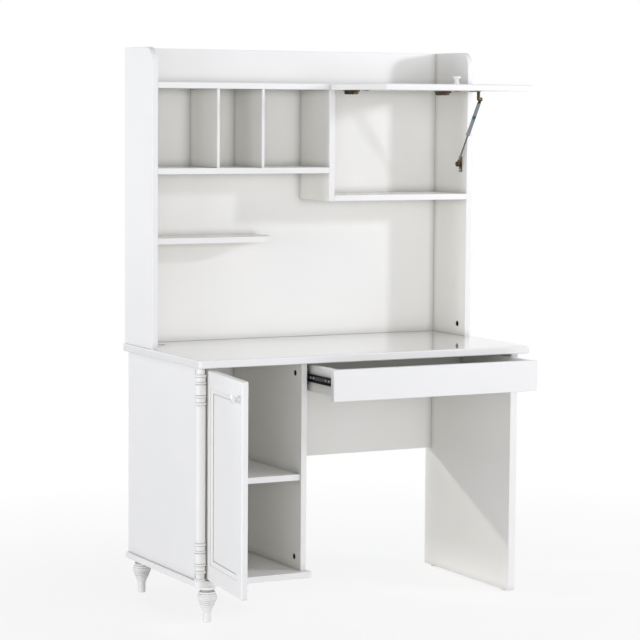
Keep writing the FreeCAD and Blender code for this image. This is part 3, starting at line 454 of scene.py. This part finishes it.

# %% [markdown]
# ## Finishes onto the CAD parts
# The record names a material slot for each CAD part, such as white_board or bronze. A table from slot to finish
# dresses the whole desk in one loop, and a part whose slot is missing from the table would show up at once. Four
# parts have a finish of their own: the routed door, the two runners with their painted glint, and the shelf pins,
# which look dark in the photograph.

# %% Dress the CAD parts
FINISH_OF_SLOT = {
    "white_board": satin_board, "white_gloss": polished_top, "turned_white": sprayed_turning,
    "knob_white": glazed_knob, "white_plastic": moulded_white, "bronze": bronze, "black_metal": black_zinc,
    "dark_cam": cast_zinc, "steel": bright_zinc, "strut_chrome": chromed, "strut_silver": silver_paint,
}
# The steel shelf pins get the near-black cam finish only because they look dark; it is not their metal's colour.
FINISH_OF_PART = {"cabinet_door": routed_door, "shelf_pins": cast_zinc,
                  "left_slide_runner": painted_glint_runner, "right_slide_runner": painted_glint_runner}
slot_of_node = {entry["node"]: entry["material_slot"] for entry in frame["record"]["subparts"]}
for name, part in frame["nodes"].items():
    part.data.materials.clear()
    part.data.materials.append(FINISH_OF_PART.get(name, FINISH_OF_SLOT[slot_of_node[name]]))
finish_names = {part.data.materials[0].name for part in frame["nodes"].values()}
print(f"{len(slot_of_node)} parts dressed in {len(finish_names)} finishes")

# %% [markdown]
# ## Where the hardware is
# Several CAD parts hold more than one solid: both hinge plates of the door are one part, and so are all six cams.
# To put a screw on each of them, the script needs each solid's own box. The imported triangles are loose, so a copy
# of the mesh is merged first, and then every group of connected vertices is one solid.

# %% Boxes of separate solids
def solid_boxes(node):
    """The low corner, the middle and the high corner of each solid in a part."""
    copy = bmesh.new()
    copy.from_mesh(frame["nodes"][node].data)
    bmesh.ops.remove_doubles(copy, verts=copy.verts, dist=1e-6)
    boxes, met = [], set()
    for first in copy.verts:
        if first in met:
            continue
        met.add(first)
        island, edge_of_search = [], [first]
        while edge_of_search:
            vert = edge_of_search.pop()
            island.append(vert.co.copy())
            for edge in vert.link_edges:
                other = edge.other_vert(vert)
                if other not in met:
                    met.add(other)
                    edge_of_search.append(other)
        low, high = Vector(map(min, zip(*island))), Vector(map(max, zip(*island)))
        boxes.append((low, (low + high) / 2, high))
    copy.free()
    return boxes


cam_boxes = solid_boxes("cam_locks")
print(f"{len(cam_boxes)} cams, {len(solid_boxes('door_hinge_plates'))} door hinge plates")

# %% [markdown]
# ## Rims and cross recesses
# Two steps come back on every screw and cam of this desk. A dome or disc has to be closed below: its open edges are
# extruded down to walls, and holes_fill puts a face across the end. And its top needs a cross. That could be dark
# paint, but a real recess catches light from any side. So four cuts mark out the cross, and the faces inside it are
# extruded downwards and drawn in, so the recess tapers as a driver's tip does.

# %% Tools for heads
TAPER = (0.72, 0.72, 0.5)
LOOKS_UP = 0.3


def close_rim(mesh, depth):
    """Walls down from the open rim, and a face to close it."""
    rim = [edge for edge in mesh.edges if edge.is_boundary]
    skirt = bmesh.ops.extrude_edge_only(mesh, edges=rim)["geom"]
    low = [item for item in skirt if isinstance(item, bmesh.types.BMVert)]
    bmesh.ops.translate(mesh, verts=low, vec=(0, 0, -depth))
    bmesh.ops.holes_fill(mesh, edges=[edge for edge in mesh.edges if edge.is_boundary], sides=0)


def cut_cross(mesh, slot, reach, depth):
    """Four cuts mark a cross of that slot width on the top; its faces go down by depth and taper."""
    for side in ((slot, 0, 0), (-slot, 0, 0), (0, slot, 0), (0, -slot, 0)):
        bmesh.ops.bisect_plane(mesh, geom=mesh.verts[:] + mesh.edges[:] + mesh.faces[:], dist=1e-7,
                               plane_co=Vector(side) / 2, plane_no=Vector(side).normalized())
    cross = []
    for face in mesh.faces:
        middle = face.calc_center_median()
        in_slot = min(abs(middle.x), abs(middle.y)) < slot / 2
        if face.normal.z > LOOKS_UP and in_slot and Vector((middle.x, middle.y)).length < reach:
            cross.append(face)
    sunk = bmesh.ops.extrude_face_region(mesh, geom=cross)["geom"]
    bmesh.ops.delete(mesh, geom=cross, context="FACES_ONLY")
    floor_verts = [item for item in sunk if isinstance(item, bmesh.types.BMVert)]
    bmesh.ops.translate(mesh, verts=floor_verts, vec=(0, 0, -depth))
    bmesh.ops.scale(mesh, verts=floor_verts, vec=TAPER)


print("rim and recess tools ready")

# %% [markdown]
# ## A cross-head screw
# All the small screws on this desk have pan heads with a cross recess. A head starts as a sphere, which bisect_plane
# cuts down to a dome. The dome is widened to the head's radius, flattened and lifted, a short straight rim closes it
# below, and the cross is cut last.

# %% Screw template
DOME_CUT = 0.28
DOME_WIDEN = 1.04
RIM_SHARE = 0.3


def pan_head(radius, tall):
    """A screw head on the plane z = 0 with its cross recess upwards."""
    head = bmesh.new()
    bmesh.ops.create_uvsphere(head, u_segments=20, v_segments=22, radius=radius)
    bmesh.ops.bisect_plane(head, geom=head.verts[:] + head.edges[:] + head.faces[:], dist=1e-7,
                           plane_co=(0, 0, radius * DOME_CUT), plane_no=(0, 0, 1), clear_inner=True)
    bmesh.ops.translate(head, verts=head.verts, vec=(0, 0, -radius * DOME_CUT))
    flatten = tall * (1 - RIM_SHARE) / (radius * (1 - DOME_CUT))
    bmesh.ops.scale(head, verts=head.verts, vec=(DOME_WIDEN, DOME_WIDEN, flatten))
    bmesh.ops.translate(head, verts=head.verts, vec=(0, 0, tall * RIM_SHARE))
    close_rim(head, tall * RIM_SHARE)
    bmesh.ops.recalc_face_normals(head, faces=head.faces)
    cut_cross(head, slot=radius * 0.30, reach=radius * 0.60, depth=tall * 0.55)
    bmesh.ops.recalc_face_normals(head, faces=head.faces)
    return head


sample = pan_head(4.0 * MM, 2.2 * MM)
print(f"a screw head has {len(sample.faces)} faces and {sum(e.is_boundary for e in sample.edges)} open edges")
sample.free()

# %% [markdown]
# ## Setting a template in several places
# A screw is drawn once, pointing along +Z, and then copied to each place with a matrix that turns +Z to the way the
# head faces. All heads of one kind on one body are joined in one mesh, because they move as one. The finished piece
# keeps its object at the origin and rides on its body.

# %% Placing helpers
def finished_piece(name, mesh, finish, body, smooth=50):
    data = bpy.data.meshes.new(name)
    mesh.to_mesh(data)
    mesh.free()
    data.materials.append(finish)
    piece = bpy.data.objects.new(name, data)
    bpy.context.scene.collection.objects.link(piece)
    data.shade_smooth()
    data.set_sharp_from_angle(angle=math.radians(smooth))
    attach(piece, body)
    return piece


def set_in_places(template, places):
    """One mesh with a copy of the template at each (point, facing, turn in degrees)."""
    joined = bmesh.new()
    stamp = bpy.data.meshes.new("stamp")
    for point, facing, turned in places:
        one = template.copy()
        matrix = (Matrix.Translation(point) @ Vector(facing).to_track_quat("Z", "Y").to_matrix().to_4x4()
                  @ Matrix.Rotation(math.radians(turned), 4, "Z"))
        bmesh.ops.transform(one, matrix=matrix, verts=one.verts)
        one.to_mesh(stamp)
        one.free()
        joined.from_mesh(stamp)
    bpy.data.meshes.remove(stamp)
    template.free()
    return joined


def screws(name, radius, tall, places, finish, body):
    """Pan heads of that radius and height in millimetres, as one piece."""
    finished_piece(name, set_in_places(pan_head(radius * MM, tall * MM), places), finish, body)


print("placing helpers ready")

# %% [markdown]
# ## Screws of the concealed hinges
# Each hinge plate is held by two screws through its wings, each cup by two through its flange, and each arm carries
# two adjusting screws. The plates and arms stand still with the desk. The cups' screws move with the door or the
# flap. The door stands open by 97 degrees, so its inner face looks along a turned direction. Screws seldom stop at
# the same turn, so each one below has a place along its hinge part and a turn of its own in degrees.

# %% Hinge screws
RIGHT, DOWN = (1, 0, 0), (0, 0, -1)
OPEN = math.radians(97)
door_inside = Vector((math.sin(OPEN), math.cos(OPEN), 0))
DOOR_PLATE_SCREWS = ((-16 * MM, 5.6), (16 * MM, 34.4))
FLAP_PLATE_SCREWS = ((-16 * MM, 23.8), (16 * MM, 46.2))
DOOR_ARM_SCREWS = ((-68 * MM, -47.6), (-40 * MM, -28.0))
FLAP_ARM_SCREWS = ((224 * MM, 156.8), (252 * MM, 176.4))
CUP_SCREWS = ((-24 * MM, -19.2), (24 * MM, 19.2))
DOOR_FLANGE_X, DOOR_FLANGE_Y = -487.90 * MM, -113.02 * MM

plate_places, arm_places = [], []
for _, middle, high in solid_boxes("door_hinge_plates"):
    for step, turned in DOOR_PLATE_SCREWS:
        plate_places.append((Vector((high.x, middle.y, middle.z + step)), RIGHT, turned))
for low, middle, _ in solid_boxes("flap_hinge_plates"):
    for step, turned in FLAP_PLATE_SCREWS:
        plate_places.append((Vector((middle.x + step, middle.y, low.z)), DOWN, turned))
for _, middle, high in solid_boxes("door_hinge_arms"):
    for along, turned in DOOR_ARM_SCREWS:
        arm_places.append((Vector((high.x, along, middle.z)), RIGHT, turned))
for low, middle, _ in solid_boxes("flap_hinge_arms"):
    for along, turned in FLAP_ARM_SCREWS:
        arm_places.append((Vector((middle.x, along, low.z)), DOWN, turned))
screws("hinge_plate_screws", 3.6, 2.0, plate_places, bronze, "desk")
screws("hinge_adjusting_screws", 3.0, 1.4, arm_places, bright_zinc, "desk")

door_cup_places, flap_cup_places = [], []
for _, middle, _ in solid_boxes("door_hinge_cups"):
    for step, turned in CUP_SCREWS:
        door_cup_places.append((Vector((DOOR_FLANGE_X, DOOR_FLANGE_Y, middle.z + step)), door_inside, turned))
for low, middle, _ in solid_boxes("flap_hinge_cups"):
    for step, turned in CUP_SCREWS:
        flap_cup_places.append((Vector((middle.x + step, middle.y, low.z)), DOWN, turned))
screws("door_cup_screws", 3.4, 1.8, door_cup_places, bronze, "door")
screws("flap_cup_screws", 3.4, 1.8, flap_cup_places, bronze, "flap")
print(f"{len(plate_places)} plate, {len(arm_places)} arm and {len(door_cup_places + flap_cup_places)} cup screws")

# %% [markdown]
# ## Screws of the drawer slides
# A runner is screwed to the drawer side through its web, between its lips, and the bright heads are what shows on
# the black slide when the drawer is out. They are low, because the ball cage passes over them. Here the turn of each
# cross simply grows with the screw's place.

# %% Slide screws
LEFT = (-1, 0, 0)
TURN_PER_METRE = 2000
SCREW_FROM_FRONT = (31 * MM, 51 * MM, 126 * MM, 145 * MM, 243 * MM, 330 * MM)
RUNNER_SHEET = 1.2 * MM
runner_places = []
for node, facing in (("left_slide_runner", LEFT), ("right_slide_runner", RIGHT)):
    low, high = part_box(node)
    web_x = high.x - RUNNER_SHEET if facing == LEFT else low.x + RUNNER_SHEET
    for distance in SCREW_FROM_FRONT:
        point = Vector((web_x, low.y + distance, (low.z + high.z) / 2))
        runner_places.append((point, facing, distance * TURN_PER_METRE))
screws("slide_screws", 3.4, 1.5, runner_places, bright_zinc, "drawer")
print(f"{len(runner_places)} slide screws")

# %% [markdown]
# ## Cam faces
# Flat-pack panels are drawn together by cams: zinc discs in blind holes, turned with a cross-head driver. The CAD
# model has each cam as a plain disc. The face that shows has a raised rim, a sunk floor and a deep cross, so the
# disc is replaced by one with that face, of the same radius and depth. It is drawn with its face at z = 0: a filled
# circle gets walls and a bottom, its top is inset and sunk, and the cross is cut in the floor.

# %% Cam discs
CAM_INSETS = ((0.14, 0.0), (0.06, 0.10), (0.16, 0.0))
FLAT_UP, MANY_CORNERS = 0.9, 8
CAM_TURN, CAM_TURN_PER_METRE = 12, 300
LEFT_SIDE_ENDS = -0.3


def cam_disc(radius, depth):
    """The insets go inwards and down by shares of the radius: the rim, the step to the floor, a ring of floor."""
    cam = bmesh.new()
    bmesh.ops.create_circle(cam, cap_ends=True, segments=36, radius=radius)
    close_rim(cam, depth)
    bmesh.ops.recalc_face_normals(cam, faces=cam.faces)
    for inwards, down in CAM_INSETS:
        top = [face for face in cam.faces if face.normal.z > FLAT_UP and len(face.verts) > MANY_CORNERS]
        bmesh.ops.inset_region(cam, faces=top, thickness=radius * inwards, depth=-radius * down, use_even_offset=True)
    cut_cross(cam, slot=radius * 0.26, reach=radius * 0.72, depth=radius * 0.30)
    bmesh.ops.recalc_face_normals(cam, faces=cam.faces)
    return cam


cam_places = []
for low, middle, high in cam_boxes:
    face_x, facing = (high.x, RIGHT) if middle.x < LEFT_SIDE_ENDS else (low.x, LEFT)
    cam_places.append((Vector((face_x, middle.y, middle.z)), facing, CAM_TURN + middle.y * CAM_TURN_PER_METRE))
low, _, high = cam_boxes[0]
cam = cam_disc((high.z - low.z) / 2, high.x - low.x)
cams = finished_piece("cam_discs", set_in_places(cam, cam_places), cast_zinc, "desk", smooth=30)
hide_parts("cam_locks")
print(f"{len(cam_places)} cams with {len(cams.data.polygons)} faces")

# %% [markdown]
# ## Bands and seals of the gas strut
# The strut leans forward from its lower stud to the flap. Round its tube runs a plain blue band, at its lower end
# the rod leaves through a black seal, and a black sleeve covers the thread below the upper eye. All three are rings
# about the strut's own axis: an outline of a few points is spun a full turn, which also merges its seam.

# %% Strut rings
strut_foot = Vector((0.516, 0.24113, 1.303))
strut_head = Vector((0.516, 0.10913, 1.506))
strut_way = (strut_head - strut_foot).normalized()
strut_turn = Matrix.Translation(strut_foot) @ strut_way.to_track_quat("Z", "Y").to_matrix().to_4x4()


def spun_ring(profile, matrix, steps=40):
    """A closed outline of (radius, level) points, spun about Z and put in place."""
    ring = bmesh.new()
    points = [ring.verts.new((radius, 0, level)) for radius, level in profile]
    edges = [ring.edges.new((points[i], points[(i + 1) % len(points)])) for i in range(len(points))]
    bmesh.ops.spin(ring, geom=points + edges, cent=(0, 0, 0), axis=(0, 0, 1), angle=math.tau, steps=steps,
                   use_merge=True)
    bmesh.ops.remove_doubles(ring, verts=ring.verts, dist=1e-7)
    bmesh.ops.recalc_face_normals(ring, faces=ring.faces)
    bmesh.ops.transform(ring, matrix=matrix, verts=ring.verts)
    return ring


def sleeve(inner, outer, start, end, soft):
    """A tube's outline in millimetres, with its two outer edges cut by soft."""
    outline = [(inner, start), (outer - soft, start), (outer, start + soft), (outer, end - soft), (outer - soft, end),
               (inner, end)]
    return [(radius * MM, level * MM) for radius, level in outline]


for name, outline, finish, slot in (
        ("strut_band", sleeve(5.52, 5.72, 171, 183, 0.08), blue_wrap, "strut_silver"),
        ("strut_seal", sleeve(2.95, 5.2, 107.6, 110.1, 0.9), black_rubber, "black_metal"),
        ("strut_thread_cover", sleeve(4.08, 5.0, 228.3, 234.5, 0.5), black_rubber, "black_metal")):
    finished_piece(name, spun_ring(outline, strut_turn), finish, "strut_upper")
print("strut rings about an axis", tuple(round(v, 3) for v in strut_way))

# %% [markdown]
# ## Screws of the strut's brackets
# The lower bracket is a plate on the hutch side with a screw above and below its stud. The upper one is screwed to
# the flap's underside beside its ear.

# %% Bracket screws
BRACKET_SHEET = 2 * MM
SIDE_STEPS = (-18 * MM, 18 * MM)
FLAP_STEPS = (-7.5 * MM, 7.5 * MM)
BESIDE_EAR = 9 * MM
low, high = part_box("strut_side_bracket")
middle = (low + high) / 2
side_places = [(Vector((high.x - BRACKET_SHEET, middle.y, middle.z + step)), LEFT, step * TURN_PER_METRE)
               for step in SIDE_STEPS]
screws("strut_side_screws", 3.4, 2.0, side_places, bright_zinc, "desk")
low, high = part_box("strut_flap_bracket")
middle = (low + high) / 2
flap_places = [(Vector((low.x + BESIDE_EAR, middle.y + step, high.z - BRACKET_SHEET)), DOWN, step * TURN_PER_METRE)
               for step in FLAP_STEPS]
screws("strut_flap_screws", 3.2, 1.8, flap_places, bright_zinc, "flap")
print(f"{len(side_places) + len(flap_places)} bracket screws")

# %% [markdown]
# ## Knob bolts
# Each knob is held by a bolt through the board. Inside the door and under the flap its pan head shows. The CAD bolt
# has a flat head, so a bolt with a domed cross head and the same shank stands for it. The shank ends inside the
# knob, so it needs only a bevelled end.

# %% Knob bolts
BOLT_HEAD_RADIUS = 4.5 * MM
BOLT_HEAD_TALL = 2.0 * MM
BOLT_SHANK_RADIUS = 2.0 * MM
BOLT_SHANK = 30 * MM
BOLT_TURN = 25
TIP_BEVEL = 0.3


def knob_bolt(head_radius, head_tall, shank_radius, shank_long):
    bolt = pan_head(head_radius, head_tall)
    shank = bmesh.ops.create_cone(bolt, cap_ends=True, segments=20, radius1=shank_radius, radius2=shank_radius,
                                  depth=shank_long, matrix=Matrix.Translation((0, 0, -shank_long / 2)))["verts"]
    tip = [vert for vert in shank if vert.co.z < -shank_long / 2]
    rim = [edge for edge in bolt.edges if edge.verts[0] in tip and edge.verts[1] in tip]
    bmesh.ops.bevel(bolt, geom=rim, offset=shank_radius * TIP_BEVEL, offset_type="OFFSET", affect="EDGES", segments=2,
                    profile=0.5, material=-1)
    return bolt


def outer_centre(node, way):
    """The middle of the flat end that a part turns towards way."""
    points = [vert.co for vert in frame["nodes"][node].data.vertices]
    reach = max(point.dot(way) for point in points)
    end = [point for point in points if reach - point.dot(way) < 1e-5]
    return (Vector(map(min, zip(*end))) + Vector(map(max, zip(*end)))) / 2


for leaf, way in (("door", door_inside), ("flap", Vector(DOWN))):
    seat = outer_centre(f"{leaf}_knob_screw", way) - way * BOLT_HEAD_TALL
    bolt = knob_bolt(BOLT_HEAD_RADIUS, BOLT_HEAD_TALL, BOLT_SHANK_RADIUS, BOLT_SHANK)
    placed = set_in_places(bolt, [(seat, way, BOLT_TURN)])
    piece = finished_piece(f"{leaf}_knob_bolt", placed, bright_zinc, leaf)
    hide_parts(f"{leaf}_knob_screw")
    print(f"{leaf} knob bolt seated at {tuple(round(v, 4) for v in seat)}")

# %% [markdown]
# ## Screws in the back of the hutch
# The thin back panel is screwed to the rear edges of the shelves and of the cupboard's floor from behind. The
# photograph doesn't show the back, so their number is a guess at the usual hand's-width-and-a-half spacing.

# %% Back panel screws
BACKWARDS = (0, 1, 0)
TURN_PER_SCREW = 37
panel_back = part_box("hutch_back")[1].y


def screw_line(node, count):
    """Screws through the back panel along the middle of a shelf's rear edge."""
    low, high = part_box(node)
    level = (low.z + high.z) / 2
    across = [low.x + (high.x - low.x) * (index + 0.5) / count for index in range(count)]
    return [(Vector((x, panel_back, level)), BACKWARDS, index * TURN_PER_SCREW) for index, x in enumerate(across)]


back_places = (screw_line("top_shelf", 6) + screw_line("cubby_shelf", 3) + screw_line("cupboard_floor", 3)
               + screw_line("corner_shelf", 2))
screws("back_panel_screws", 3.4, 1.6, back_places, bright_zinc, "desk")
print(f"{len(back_places)} screws in the back panel")
